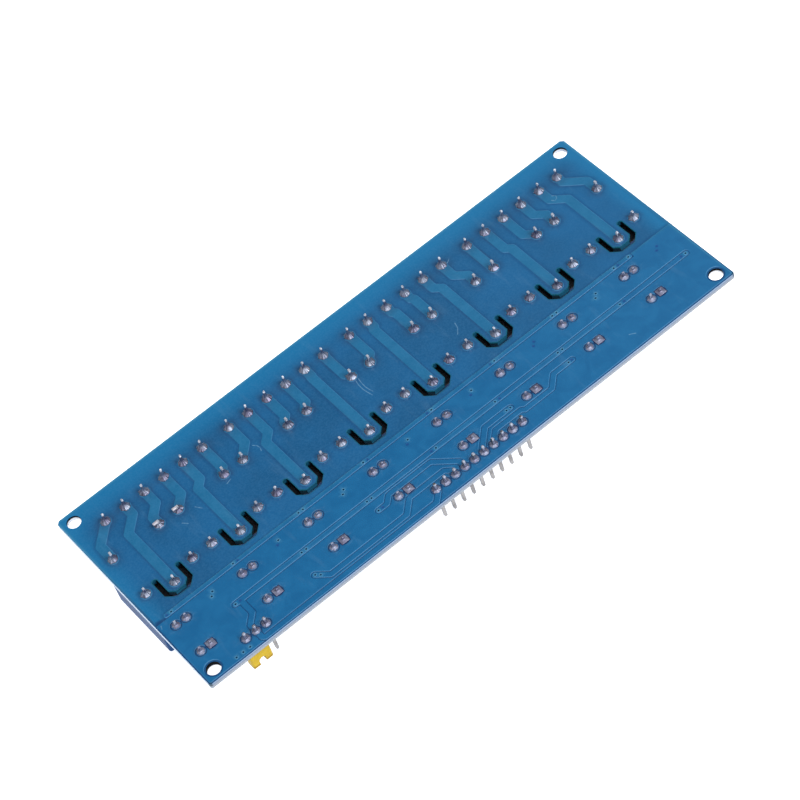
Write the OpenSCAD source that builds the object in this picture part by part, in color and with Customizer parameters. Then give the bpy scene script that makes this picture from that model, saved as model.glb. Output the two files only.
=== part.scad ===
// Eight channel relay board, lying on its relay lids with the solder side up.
// Origin: centre of the board outline, on the plane of the relay lids.
// +X runs along the board, +Y towards the screw terminals, +Z out of the solder side.

/* [Board] */
// Length of the laminate
board_l = 138.5; // [138:0.5:142]
// Width of the laminate
board_w = 56.6; // [56:0.2:60]
// Thickness of the laminate
board_t = 1.4; // [1.2:0.1:2]
// Size of the bevel on the two corners beside the terminals
corner_cut = 0.7; // [0.3:0.1:1.5]
// Size of the bevel on the two corners beside the headers
corner_nip = 0.3; // [0.2:0.1:1.5]
// Diameter of the mounting holes
mount_d = 3.2; // [3:0.1:3.4]
// Distance between mounting holes along the board
mount_x = 132.8; // [132:0.1:133]
// Distance between mounting holes across the board
mount_y = 51.2; // [50.4:0.1:51.4]
// Thickness of the copper under the solder mask
copper_t = 0.04; // [0.03:0.01:0.07]

/* [Relays] */
// Distance from one relay to the next
relay_pitch = 17; // [16.8:0.1:17.1]
// Width of a relay
relay_w = 15.5; // [15:0.1:16]
// Length of a relay
relay_l = 19.2; // [18.8:0.1:19.6]
// Height of a relay above the board
relay_h = 15.4; // [15:0.1:16]
// Radius of the moulded edges of a relay
relay_r = 0.6; // [0.4:0.1:0.8]
// Line of the common contact pins across the board
com_y = -2.7; // [-3:0.1:-2.4]
// Width of the milled isolation slots
slot_w = 1.2; // [1:0.1:1.3]

/* [Terminals] */
// Distance between neighbouring screws
term_pitch = 5.08; // [5.04:0.01:5.1]
// Distance between the groups of two terminal blocks
term_group = 32.5; // [32:0.1:33]
// Line of the terminal pins across the board
term_y = 20.6; // [20.2:0.1:20.8]
// Height of a terminal block above the board
term_h = 10.2; // [9.8:0.1:11]
// Width of the heavy tracks
track_w = 2.0; // [1.6:0.1:2.2]

/* [Headers] */
// Number of ways of the input header
header_n = 10; // [8:1:10]
// Distance between header pins
header_pitch = 2.54; // [2.5:0.01:2.54]
// Line of the header pins across the board
header_y = -24.8; // [-25:0.1:-24.6]
// Side of a square header pin
header_pin = 0.64; // [0.6:0.02:0.66]
// Length of the header pins above the solder face
header_tail = 2.0; // [1.6:0.1:2.4]
// Length of the header pins beyond the component face
header_reach = 7.8; // [7:0.1:8.6]

/* [Optocouplers] */
// Distance between the two pin rows of an optocoupler
opto_row = 8.8; // [8.4:0.1:9]
// Middle of the optocouplers across the board
opto_y = -16.0; // [-16.2:0.1:-15.8]

/* [Hidden] */
$fn = 48;
eps = 0.01;
channels = 8;
zc = relay_h;             // component face
zs = relay_h + board_t;   // solder face
zt = zs + copper_t;       // top of the copper
relay_x0 = -0.4;
relay_front = 1.3;        // face of the relay before its common pin
coil_dx = 6.0;
coil_dy = 2.0;
throw_dy = 14.2;
term_x0 = -0.1;
opto_dx = -4.7;           // optocoupler from the middle line of its relay
header_x = 2.9;
supply_x = -55.1;
pour_top = -7.7;
gap = 0.3;

function relay_x(k) = relay_x0 + relay_pitch * (k - 3.5);
function opto_x(k) = relay_x(k) + opto_dx;
function term_x(i) = term_x0 + term_group * (floor(i / 6) - 1.5) + term_pitch * ((i % 6) - 2.5);
function block_x(b) = (term_x(3 * b) + term_x(3 * b + 2)) / 2;
function header_px(i) = header_x + header_pitch * (i - (header_n - 1) / 2);
function supply_px(i) = supply_x + header_pitch * (i - 1);
com_pads = [for (k = [0:channels - 1]) [relay_x(k), com_y]];
throw_pads = [for (k = [0:channels - 1], s = [-1, 1]) [relay_x(k) + s * coil_dx, com_y + throw_dy]];
coil_pads = [for (k = [0:channels - 1], s = [-1, 1]) [relay_x(k) + s * coil_dx, com_y + coil_dy]];
term_pads = [for (i = [0:23]) [term_x(i), term_y]];
opto_pads = [for (k = [0:channels - 1], s = [-1, 1], t = [-1, 1]) [opto_x(k) + s * 1.27, opto_y + t * opto_row / 2]];
header_pads = concat([for (i = [0:header_n - 1]) [header_px(i), header_y]], [for (i = [0:2]) [supply_px(i), header_y]]);
hole_contact = 1.3;
hole_term = 1.3;
hole_opto = 0.9;
hole_header = 1.05;
via_d = 0.4;

// where the bend of each heavy track ends, from the first terminal pin to the last
bend_y = [16.2, 14.3, 13.9, 11.6, 12.7, 12.4,
          11.9, 11.4, 13.0, 12.4, 18.0, 12.2,
          12.0, 18.0, 18.0, 18.0, 15.7, 14.2,
          12.4, 12.7, 11.8, 14.4, 14.1, 14.9];

// centre lines of the control tracks, with their widths
control_tracks = [
    [1.0, [[-54.4, -16.55], [66, -16.55]]],
    [1.0, [[-53, -16.55], [-53, -20.7], [-55.1, -22.8], [-55.1, -26.9], [-54.6, -27.4], [-10.4, -27.4], [-8.53, -25.5], [-8.53, -24.8]]],
    [1.0, [[-38.7, -22.9], [-36.3, -25.3], [-16.6, -25.3], [-13.65, -22.35], [-4.6, -22.35], [-3.45, -23.5], [-3.45, -24.8]]],
    [0.95, [[-20, -20.1], [-17.7, -20.1], [-16.15, -18.55], [-5.15, -18.55], [-0.91, -22.8], [-0.91, -24.8]]],
    [1.0, [[4.17, -24.8], [4.17, -24.1], [8.15, -20.1], [14.9, -20.1]]],
    [0.95, [[6.71, -24.8], [9.25, -22.25], [16.05, -22.25], [16.65, -22.85], [23.9, -22.85], [26.6, -20.15], [31.6, -20.15]]]];

// small plated holes that join the two faces
vias = concat(
    [for (k = [0:7], p = [[-5.95, -8.15], [-4.8, -8.15], [3.25, -11.4], [4.05, -10.5]]) [relay_x(k) + p[0], p[1]]],
    [for (k = [0:6], p = [5.6, 6.8]) [relay_x(k) + p, -16.55]],
    [[64.7, -16.55], [65.9, -16.55], [57.2, -8.15], [-61.6, -27], [-59.9, -27], [-58.2, -27],
     [-38.6, -22.95], [-37.8, -23.8], [-20, -20.1], [-18.9, -20.1], [13.9, -20.1], [14.9, -20.1], [30.6, -20.15], [31.5, -20.15]]);

mask_blue = [0.12, 0.41, 0.61];
case_blue = [0.10, 0.32, 0.66];
tin = [0.72, 0.70, 0.72];
solder_grey = [0.74, 0.68, 0.72];
ink = [0.08, 0.08, 0.09];

// ---- plane figures

// points of a polyline moved sideways by d, with mitred corners
function unit(v) = v / norm(v);
function nrm(a, b) = let (u = unit(b - a)) [-u[1], u[0]];
function side(p, i, d) = let (n = len(p))
    i == 0 ? p[0] + d * nrm(p[0], p[1]) :
    i == n - 1 ? p[i] + d * nrm(p[i - 1], p[i]) :
    let (a = nrm(p[i - 1], p[i]), b = nrm(p[i], p[i + 1]), m = unit(a + b)) p[i] + m * d / (m * a);
function ribbon(p, w) = concat(
    [for (i = [0:len(p) - 1]) side(p, i, w / 2)],
    [for (i = [len(p) - 1:-1:0]) side(p, i, -w / 2)]);

// a strip of constant width along a polyline, with round ends
module strip(p, w, h) {
    linear_extrude(h) polygon(ribbon(p, w));
    for (q = [p[0], p[len(p) - 1]]) translate(q) cylinder(d = w, h = h);
}

// bar with both ends bevelled on four sides, standing along z
module bevelled_pin(s, z0, z1, c) {
    intersection() {
        rotate([90, 0, 0]) translate([0, 0, -s / 2]) linear_extrude(s) pin_face(s, z0, z1, c);
        rotate([90, 0, 90]) translate([0, 0, -s / 2]) linear_extrude(s) pin_face(s, z0, z1, c);
    }
}
module pin_face(s, z0, z1, c) {
    k = s * 0.16;
    polygon([[-s / 2 + k, z0], [s / 2 - k, z0], [s / 2, z0 + c], [s / 2, z1 - c], [s / 2 - k, z1], [-s / 2 + k, z1], [-s / 2, z1 - c], [-s / 2, z0 + c]]);
}

// box with rounded upright edges
module soft_box(w, l, h, r) {
    translate([-w / 2 + r, -l / 2, 0]) cube([w - 2 * r, l, h]);
    translate([-w / 2, -l / 2 + r, 0]) cube([w, l - 2 * r, h]);
    for (x = [-1, 1], y = [-1, 1]) translate([x * (w / 2 - r), y * (l / 2 - r), 0]) cylinder(r = r, h = h);
}

// puts a part, drawn standing on the component face with +z away from the board, in its place
module under(x, y) {
    translate([x, y, zc]) mirror([0, 0, 1]) children();
}

// ---- board

module slot_cut(x) {
    p = [[-3.0, 0.25], [-3.0, -3.9], [-1.5, -5.4], [1.5, -5.4], [3.0, -3.9], [3.0, 0.25]];
    translate([x, 0, zc - 0.5]) strip(p, slot_w, board_t + 1);
}

module holes(pads, d, z0 = zc - 0.5, h = board_t + 1.2) {
    for (p = pads) translate([p[0], p[1], z0]) cylinder(d = d, h = h);
}

module all_holes() {
    holes(concat(com_pads, throw_pads, coil_pads), hole_contact);
    holes(term_pads, hole_term);
    holes(opto_pads, hole_opto);
    holes(header_pads, hole_header);
    holes(vias, via_d);
}

module circuit_board() {
    l = board_l / 2;
    w = board_w / 2;
    c = corner_cut;
    n = corner_nip;
    color(mask_blue) difference() {
        translate([0, 0, zc]) linear_extrude(board_t)
            polygon([[-l + n, -w], [l - n, -w], [l, -w + n], [l, w - c], [l - c, w], [-l + c, w], [-l, w - c], [-l, -w + n]]);
        for (x = [-1, 1], y = [-1, 1]) translate([x * mount_x / 2, y * mount_y / 2, zc - 1]) cylinder(d = mount_d, h = board_t + 2);
        for (k = [0:channels - 1]) slot_cut(relay_x(k));
        all_holes();
    }
}

// heavy track from a terminal pin to the relay contact that it serves
function track_end(i) = let (k = 2 * floor(i / 6) + (i % 6 >= 3 ? 1 : 0), t = i % 3)
    t == 1 ? [relay_x(k), com_y] : [relay_x(k) + (t - 1) * coil_dx, com_y + throw_dy];
function track_path(i) = let (a = term_pads[i], b = track_end(i), d = abs(b[0] - a[0]))
    [a, [a[0], bend_y[i] + d + 0.02], [b[0], bend_y[i]], b];

module power_tracks() {
    color([0.16, 0.45, 0.62]) difference() {
        translate([0, 0, zs]) union() {
            for (i = [0:23]) strip(track_path(i), track_w, copper_t);
            for (p = concat(com_pads, throw_pads, term_pads)) translate(p) cylinder(d = 2.4, h = copper_t);
            for (p = coil_pads) translate(p) cylinder(d = 2.4, h = copper_t);
        }
        holes(concat(com_pads, throw_pads, coil_pads), hole_contact);
        holes(term_pads, hole_term);
    }
}

module control_copper() {
    l = board_l / 2 - 0.4;
    w = -board_w / 2 + 0.4;
    m = mount_d / 2 + 0.5;
    color([0.13, 0.43, 0.62]) difference() {
        translate([0, 0, zs]) union() {
            difference() {
                linear_extrude(copper_t) polygon([[-l, w + 0.7], [-l + 0.7, w], [l - 0.7, w], [l, w + 0.7], [l, pour_top - 0.2],
                    [58.2, pour_top - 0.2], [58.2, -8.5], [57.8, -8.9], [-66.1, -8.9], [-66.5, -8.5], [-66.5, pour_top], [-l, pour_top]]);
                for (t = control_tracks) translate([0, 0, -1]) strip(t[1], t[0] + 2 * gap, 2);
                for (p = concat(opto_pads, header_pads)) translate([p[0], p[1], -1]) cylinder(d = 2.5, h = 2);
                for (x = [-1, 1]) translate([x * mount_x / 2, -mount_y / 2, -1]) cylinder(r = m, h = 2);
            }
            linear_extrude(copper_t) polygon([[-66.2, pour_top], [57.9, pour_top], [57.9, -8.3], [57.6, -8.6], [-65.9, -8.6], [-66.2, -8.3]]);
            for (t = control_tracks) strip(t[1], t[0], copper_t);
            for (p = concat(opto_pads, header_pads)) translate(p) cylinder(d = 1.9, h = copper_t);
        }
        holes(opto_pads, hole_opto);
        holes(header_pads, hole_header);
        holes(vias, via_d);
    }
}

// ---- relays

// the five pins of a relay, standing on its base plane, seen from its common pin
contact_blade = [0.45, 0.6];
coil_blade = [0.45, 0.5];
pin_seat = 2.4;
throw_tail = 2.4;
bent_h = 1.15;
com_tail = 1.9;
coil_tail = 2.0;
module blade(size, z0, z1) {
    translate([-size[0] / 2, -size[1] / 2, z0]) cube([size[0], size[1], z1 - z0]);
}

// sealed case on four small feet, with its common pin at x = 0, y = 0
module relay_case() {
    r = relay_r;
    cy = relay_l / 2 - relay_front;
    w = relay_w;
    l = relay_l;
    difference() {
        translate([0, cy, 0]) union() {
            // walls and lid with a rounded rim
            translate([0, 0, 0.3]) soft_box(w, l, relay_h - r - 0.3, r);
            translate([0, 0, 1]) translate([-w / 2 + r, -l / 2 + r, 0]) cube([w - 2 * r, l - 2 * r, relay_h - 1]);
            for (x = [-1, 1]) translate([x * (w / 2 - r), 0, relay_h - r]) rotate([90, 0, 0]) cylinder(r = r, h = l - 2 * r, center = true);
            for (y = [-1, 1]) translate([0, y * (l / 2 - r), relay_h - r]) rotate([0, 90, 0]) cylinder(r = r, h = w - 2 * r, center = true);
            for (x = [-1, 1], y = [-1, 1]) translate([x * (w / 2 - r), y * (l / 2 - r), relay_h - r]) sphere(r = r);
            // feet that hold the sealed base off the board
            for (x = [-1, 1], y = [-1, 1]) translate([x * (w / 2 - 1.6), y * (l / 2 - 1.0), 0]) cylinder(d = 1.2, h = 1);
        }
        // sunk sealing compound inside the rim of the case
        difference() {
            translate([-w / 2 + 0.9, -relay_front + 0.7, -1]) cube([w - 1.8, l - 1.4, 1.6]);
            for (x = [-1, 1], y = [-1, 1]) translate([x * (w / 2 - 1.6), cy + y * (l / 2 - 1.0), -2]) cylinder(d = 1.2, h = 4);
        }
        for (p = [[0, 0], [-coil_dx, throw_dy], [coil_dx, throw_dy]]) translate(p) blade(contact_blade, -1, pin_seat);
        for (s = [-1, 1]) translate([s * coil_dx, coil_dy]) blade(coil_blade, -1, pin_seat);
    }
}
module relay(k) {
    color(case_blue) under(relay_x(k), com_y) relay_case();
}

module relay_contact_pins() {
    color(tin) {
        for (p = com_pads) under(p[0], p[1]) blade(contact_blade, -board_t - com_tail, pin_seat);
        for (i = [0:len(throw_pads) - 1]) under(throw_pads[i][0], throw_pads[i][1])
            if (i == 1 || i == 2) {
                // tails that were bent flat, towards the left
                blade(contact_blade, -board_t - bent_h, pin_seat);
                translate([-1.25, -contact_blade[1] / 2, -board_t - bent_h]) cube([1.25, contact_blade[1], 0.35]);
            } else blade(contact_blade, -board_t - throw_tail, pin_seat);
    }
}
module relay_coil_pins() {
    color(tin) for (p = coil_pads) under(p[0], p[1]) blade(coil_blade, -board_t - coil_tail, pin_seat);
}

// ---- screw terminals, drawn with the middle pin at x = 0, y = 0 and the wires coming in from +y

term_back = 4.6;
term_front = 5.4;
term_tail = 2.7;
module terminal_housing() {
    h = term_h;
    difference() {
        rotate([90, 0, 90]) translate([0, 0, -1.5 * term_pitch]) linear_extrude(3 * term_pitch)
            polygon([[-term_back, 0.3], [-term_back + 0.8, 0], [-1.2, 0], [-1.2, 0.3], [1.2, 0.3], [1.2, 0], [term_front, 0],
                [term_front, 6.3], [3.6, 7.6], [3.6, h], [-3.2, h], [-term_back, h - 2.0]]);
        for (i = [-1:1]) translate([i * term_pitch, 0, 0]) {
            // wire way
            translate([-1.95, -2.8, 1.5]) cube([3.9, term_front + 3.8, 3.9]);
            // screw well
            translate([0, 0, 5.3]) cylinder(d = 4.1, h = h);
            // way for the pin
            translate([0, 0, -1]) cylinder(d = 0.8, h = 3);
            // relief between the ways on the wire side
            translate([term_pitch / 2 - 0.2, term_front - 0.5, -1]) cube([0.4, 1, 7.0]);
        }
    }
}
module terminal_block(b) {
    color([0.10, 0.42, 0.72]) under(block_x(b), term_y) terminal_housing();
}
module terminal_clamps() {
    color([0.80, 0.79, 0.75]) for (p = term_pads) under(p[0], p[1]) difference() {
        translate([-1.9, -2.7, 1.5]) cube([3.8, 5.4, 3.8]);
        translate([-1.35, -3, 2.1]) cube([2.7, 6, 2.4]);
        translate([0, 0, 4]) cylinder(d = 2.6, h = 2);
    }
}
module terminal_screws() {
    color([0.82, 0.82, 0.80]) for (p = term_pads) under(p[0], p[1]) difference() {
        union() {
            translate([0, 0, 3.4]) cylinder(d = 2.5, h = 2.1);
            translate([0, 0, 5.3]) cylinder(d = 3.7, h = 1.9);
        }
        translate([-3, -0.35, 6.3]) cube([6, 0.7, 2]);
    }
}
module terminal_pins() {
    color(tin) for (p = term_pads) under(p[0], p[1]) translate([0, 0, -board_t - term_tail]) cylinder(d = 0.6, h = board_t + term_tail + 1.5);
}

// ---- optocouplers: moulded four pin body with its leads splayed to the pads

module opto_body() {
    w = 4.6;
    l = 6.5;
    difference() {
        rotate([90, 0, 90]) translate([0, 0, -w / 2]) linear_extrude(w)
            polygon([[-l / 2 + 0.25, 0.6], [l / 2 - 0.25, 0.6], [l / 2, 2.15], [l / 2, 2.45], [l / 2 - 0.25, 4.0], [-l / 2 + 0.25, 4.0], [-l / 2, 2.45], [-l / 2, 2.15]]);
        for (x = [-1, 1], s = [-1, 1]) translate([x * 1.27, 0, 0]) lead(s, x);
        // pin one dot
        translate([1.5, -2.2, 3.85]) cylinder(d = 0.9, h = 1);
    }
}
// one lead of the row on side s; the right hand leads were cropped shorter
module lead(s, x) {
    f = opto_row / 2;
    if (s > 0) lead_shape(f, x > 0 ? 0.8 : 1.5);
    else mirror([0, 1, 0]) lead_shape(f, x > 0 ? 0.8 : 1.5);
}
module lead_shape(f, tail) {
    translate([-0.6, 2.6, 2.17]) cube([1.2, f + 0.125 - 2.6, 0.26]);
    translate([-0.6, f - 0.13, 0.9]) cube([1.2, 0.26, 1.53]);
    translate([-0.25, f - 0.13, -board_t - tail]) cube([0.5, 0.26, board_t + tail + 1.1]);
}
module optocoupler(k) {
    color(ink) under(opto_x(k), opto_y) opto_body();
}
module optocoupler_leads() {
    color(tin) for (k = [0:channels - 1]) under(opto_x(k), opto_y) for (x = [-1, 1], s = [-1, 1]) translate([x * 1.27, 0, 0]) lead(s, x);
}

// ---- pin headers and the jumper

strip_h = 2.5;
module header_strip(n) {
    difference() {
        for (i = [0:n - 1]) translate([(i - (n - 1) / 2) * header_pitch, 0, 0]) linear_extrude(strip_h)
            polygon([[-1.27, -0.87], [-0.87, -1.27], [0.87, -1.27], [1.27, -0.87], [1.27, 0.87], [0.87, 1.27], [-0.87, 1.27], [-1.27, 0.87]]);
        for (i = [0:n - 1]) translate([(i - (n - 1) / 2) * header_pitch - header_pin / 2, -header_pin / 2, -1]) cube([header_pin, header_pin, strip_h + 2]);
    }
}
module header_pin_at(x) {
    under(x, header_y) bevelled_pin(header_pin, -board_t - header_tail, header_reach, 0.35);
}
module input_header_body() { color(ink) under(header_x, header_y) header_strip(header_n); }
module input_header_pins() { color(tin) for (i = [0:header_n - 1]) header_pin_at(header_px(i)); }
module supply_header_body() { color(ink) under(supply_x, header_y) header_strip(3); }
module supply_header_pins() { color(tin) for (i = [0:2]) header_pin_at(supply_px(i)); }

cap_h = 5.05;
cap_w = 4.9;
cap_d = 2.4;
cap_z = strip_h + 0.05;
cap_dx = -0.26;           // the cap sits a little to one side of its pins
cap_dy = 0.05;
module jumper_cap() {
    w = cap_w / 2;
    d = cap_d / 2;
    color([0.93, 0.78, 0.22]) under(supply_px(0) + header_pitch / 2 + cap_dx, header_y + cap_dy) difference() {
        translate([0, 0, cap_z]) linear_extrude(cap_h) polygon([[-w, -d + 0.3], [-w + 0.3, -d], [w - 0.3, -d], [w, -d + 0.3], [w, d - 0.3], [w - 0.3, d], [-w + 0.3, d], [-w, d - 0.3]]);
        // room for the pins and the clip
        translate([-2.1, -0.75, cap_z - 1]) cube([4.2, 1.5, 1 + cap_h - 0.7]);
        // ways for the ends of the pins
        for (s = [-1, 1]) translate([s * header_pitch / 2 - cap_dx - 0.37, -cap_dy - 0.37, cap_z]) cube([0.74, 0.74, cap_h + 1]);
        // round notch between the two lobes
        translate([0, 0, cap_z + cap_h - 1.5]) rotate([90, 0, 0]) cylinder(d = 1.6, h = cap_d + 1, center = true);
        translate([-0.8, -d - 0.5, cap_z + cap_h - 1.5]) cube([1.6, cap_d + 1, 2]);
        // bevels on the tips of the lobes
        for (s = [-1, 1]) {
            translate([0, s * d, cap_z + cap_h]) rotate([45, 0, 0]) cube([cap_w + 1, 0.6, 0.6], center = true);
            translate([s * w, 0, cap_z + cap_h]) rotate([0, 45, 0]) cube([0.6, cap_d + 1, 0.6], center = true);
        }
    }
}
module jumper_clip() {
    t = 0.2;
    h = header_pin / 2;
    color([0.83, 0.72, 0.45]) under(supply_px(0) + header_pitch / 2, header_y) {
        for (s = [-1, 1]) translate([-1.8, s * (h + t / 2) - t / 2, cap_z + 0.4]) cube([3.6, t, 2.2]);
        for (x = [-1, 1]) translate([x * 1.71 - 0.09, -h - t, cap_z + 1.2]) cube([0.18, 2 * h + 2 * t, 0.8]);
    }
}

// ---- small parts of each channel on the component face

module driver_transistors() {
    color(ink) for (k = [0:channels - 1]) under(opto_x(k) + 8.0, -11.4) translate([0, 0, 0.15]) soft_box(2.9, 1.3, 0.95, 0.1);
}
module transistor_leads() {
    color(tin) for (k = [0:channels - 1]) under(opto_x(k) + 8.0, -11.4)
        for (p = [[-0.95, -1], [0.95, -1], [0, 1]]) translate([p[0], 0, 0]) {
            translate([-0.2, p[1] * 1.0 - 0.35, 0]) cube([0.4, 0.7, 0.15]);
        }
}
module flyback_diodes() {
    color(ink) for (k = [0:channels - 1]) under(opto_x(k) + 8.0, -7.6) translate([0, 0, 0.2]) difference() {
        soft_box(4.3, 2.6, 2.0, 0.15);
        translate([-1.75, -2, 1.95]) cube([0.5, 4, 1]);
    }
}
module diode_tabs() {
    color(tin) for (k = [0:channels - 1], s = [-1, 1]) under(opto_x(k) + 8.0, -7.6) {
        translate([s * 1.9 - 0.6, -0.75, 0]) cube([1.2, 1.5, 0.2]);
        translate([s * 2.25 - 0.1, -0.75, 0]) cube([0.2, 1.5, 1.3]);
    }
}
module chip(l, w, h) { translate([-l / 2, -w / 2, 0]) cube([l, w, h]); }
module indicator_leds() {
    color([0.85, 0.25, 0.2]) for (k = [0:channels - 1]) under(opto_x(k) + 6.0, -20.2) { chip(2.0, 1.25, 0.35); translate([0, 0, 0.35]) chip(1.3, 1.25, 0.45); }
}
module chip_resistors() {
    color([0.2, 0.2, 0.22]) for (k = [0:channels - 1], p = [[6.0, -17.9], [6.0, -14.6], [9.4, -14.6]]) under(opto_x(k) + p[0], p[1]) chip(2.0, 1.25, 0.5);
}

// ---- solder joints: a fillet round each lead and the plug that fills its hole

function fillet(r, rp, h, n) = [for (i = [0:n]) let (t = i / n) [rp + (r - rp) * pow(1 - t, 2.3), h * t]];
module joint(p, r, rp, h, hole) {
    translate([p[0], p[1], 0]) {
        translate([0, 0, zt]) rotate_extrude() polygon(concat([[0, 0]], fillet(r, rp, h, 6), [[0, h]]));
        translate([0, 0, zc]) cylinder(d = hole - 0.04, h = zt - zc);
    }
}
module contact_solder() {
    color(solder_grey) difference() {
        for (p = com_pads) joint(p, 1.2, 0.42, 1.25, hole_contact);
        for (i = [0:len(throw_pads) - 1]) joint(throw_pads[i], 1.2, 0.42, i == 1 || i == 2 ? 0.75 : 1.25, hole_contact);
        for (p = concat(com_pads, throw_pads)) under(p[0], p[1]) blade(contact_blade, -board_t - 4, 1);
    }
}
module coil_solder() {
    color(solder_grey) difference() {
        for (p = coil_pads) joint(p, 1.2, 0.38, 1.2, hole_contact);
        for (p = coil_pads) under(p[0], p[1]) blade(coil_blade, -board_t - 4, 1);
    }
}
module terminal_solder() {
    color(solder_grey) difference() {
        for (p = term_pads) joint(p, 1.2, 0.36, 1.3, hole_term);
        for (p = term_pads) translate([p[0], p[1], zc - 1]) cylinder(d = 0.62, h = 6);
    }
}
module optocoupler_solder() {
    color(solder_grey) difference() {
        for (k = [0:channels - 1], s = [-1, 1], t = [-1, 1]) {
            p = [opto_x(k) + s * 1.27, opto_y + t * opto_row / 2];
            joint(p, 0.95, 0.36, 0.5, hole_opto);
            // the pad of pin one is square
            if (s > 0 && t < 0) translate([p[0] - 0.93, p[1] - 0.93, zt]) cube([1.86, 1.86, 0.08]);
        }
        for (k = [0:channels - 1]) under(opto_x(k), opto_y) for (x = [-1, 1], s = [-1, 1]) translate([x * 1.27, 0, 0]) lead(s, x);
    }
}
module header_solder() {
    color(solder_grey) difference() {
        for (p = header_pads) joint(p, 0.95, 0.48, 0.95, hole_header);
        for (p = header_pads) translate([p[0] - header_pin / 2, p[1] - header_pin / 2, zc - 1]) cube([header_pin, header_pin, 6]);
    }
}

circuit_board();
power_tracks();
control_copper();
relay(0);  // relay_1
relay(1);  // relay_2
relay(2);  // relay_3
relay(3);  // relay_4
relay(4);  // relay_5
relay(5);  // relay_6
relay(6);  // relay_7
relay(7);  // relay_8
relay_contact_pins();
relay_coil_pins();
terminal_block(0);  // terminal_block_1
terminal_block(1);  // terminal_block_2
terminal_block(2);  // terminal_block_3
terminal_block(3);  // terminal_block_4
terminal_block(4);  // terminal_block_5
terminal_block(5);  // terminal_block_6
terminal_block(6);  // terminal_block_7
terminal_block(7);  // terminal_block_8
terminal_clamps();
terminal_screws();
terminal_pins();
optocoupler(0);  // optocoupler_1
optocoupler(1);  // optocoupler_2
optocoupler(2);  // optocoupler_3
optocoupler(3);  // optocoupler_4
optocoupler(4);  // optocoupler_5
optocoupler(5);  // optocoupler_6
optocoupler(6);  // optocoupler_7
optocoupler(7);  // optocoupler_8
optocoupler_leads();
input_header_body();
input_header_pins();
supply_header_body();
supply_header_pins();
jumper_cap();
jumper_clip();
driver_transistors();
transistor_leads();
flyback_diodes();
diode_tabs();
indicator_leds();
chip_resistors();
contact_solder();
coil_solder();
terminal_solder();
optocoupler_solder();
header_solder();
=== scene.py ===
import bpy, bmesh, math, random
import numpy as np
from mathutils import Vector, Matrix
from mathutils.geometry import delaunay_2d_cdt


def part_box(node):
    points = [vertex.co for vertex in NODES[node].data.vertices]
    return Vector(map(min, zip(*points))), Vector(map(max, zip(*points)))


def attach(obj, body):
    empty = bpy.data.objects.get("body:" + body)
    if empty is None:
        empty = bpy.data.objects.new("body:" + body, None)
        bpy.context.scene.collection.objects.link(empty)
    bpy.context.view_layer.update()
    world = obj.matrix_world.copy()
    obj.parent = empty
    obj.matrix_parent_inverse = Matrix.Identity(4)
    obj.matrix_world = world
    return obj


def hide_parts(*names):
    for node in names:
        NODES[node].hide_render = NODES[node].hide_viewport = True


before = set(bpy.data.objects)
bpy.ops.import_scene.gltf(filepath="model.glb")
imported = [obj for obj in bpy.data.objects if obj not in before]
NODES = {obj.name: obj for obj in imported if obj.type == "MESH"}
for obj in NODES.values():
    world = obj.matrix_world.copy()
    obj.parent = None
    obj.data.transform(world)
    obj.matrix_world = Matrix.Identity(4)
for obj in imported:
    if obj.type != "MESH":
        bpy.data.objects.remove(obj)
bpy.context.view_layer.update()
MM = 0.001
BLO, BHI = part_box("circuit_board")
ZC, ZS = BLO[2] / MM, BHI[2] / MM          # component face and solder face, mm
LX, WY = BHI[0] / MM, BHI[1] / MM          # half length, half width, mm

# ------------------------------------------------------------------ layout (mm, the row's frame)
CH = 8
def relay_x(k): return -0.4 + 17.0 * (k - 3.5)
def opto_x(k): return relay_x(k) - 4.7
def term_x(i): return -0.1 + 32.5 * (i // 6 - 1.5) + 5.08 * ((i % 6) - 2.5)
COM_Y, TERM_Y, HDR_Y, OPTO_Y, OPTO_ROW = -2.7, 20.6, -24.8, -16.0, 8.8
com = [(relay_x(k), COM_Y) for k in range(CH)]
coil = [(relay_x(k) + s * 6.0, COM_Y + 2.0) for k in range(CH) for s in (-1, 1)]
throw = [(relay_x(k) + s * 6.0, COM_Y + 14.2) for k in range(CH) for s in (-1, 1)]
term = [(term_x(i), TERM_Y) for i in range(24)]
opto = [(opto_x(k) + s * 1.27, OPTO_Y + t * OPTO_ROW / 2) for k in range(CH) for s in (-1, 1) for t in (-1, 1)]
hdr = [(2.9 + 2.54 * (i - 4.5), HDR_Y) for i in range(10)]
sup = [(-55.1 + 2.54 * (i - 1), HDR_Y) for i in range(3)]
BEND = [16.2, 14.3, 13.9, 11.6, 12.7, 12.4, 11.9, 11.4, 13.0, 12.4, 18.0, 12.2,
        12.0, 18.0, 18.0, 18.0, 15.7, 14.2, 12.4, 12.7, 11.8, 14.4, 14.1, 14.9]
def power_path(i):
    k = 2 * (i // 6) + (1 if i % 6 >= 3 else 0)
    t = i % 3
    b = com[k] if t == 1 else (relay_x(k) + (t - 1) * 6.0, COM_Y + 14.2)
    a = term[i]
    d = abs(b[0] - a[0])
    return [a, (a[0], BEND[i] + d + 0.02), (b[0], BEND[i]), b]
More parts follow.
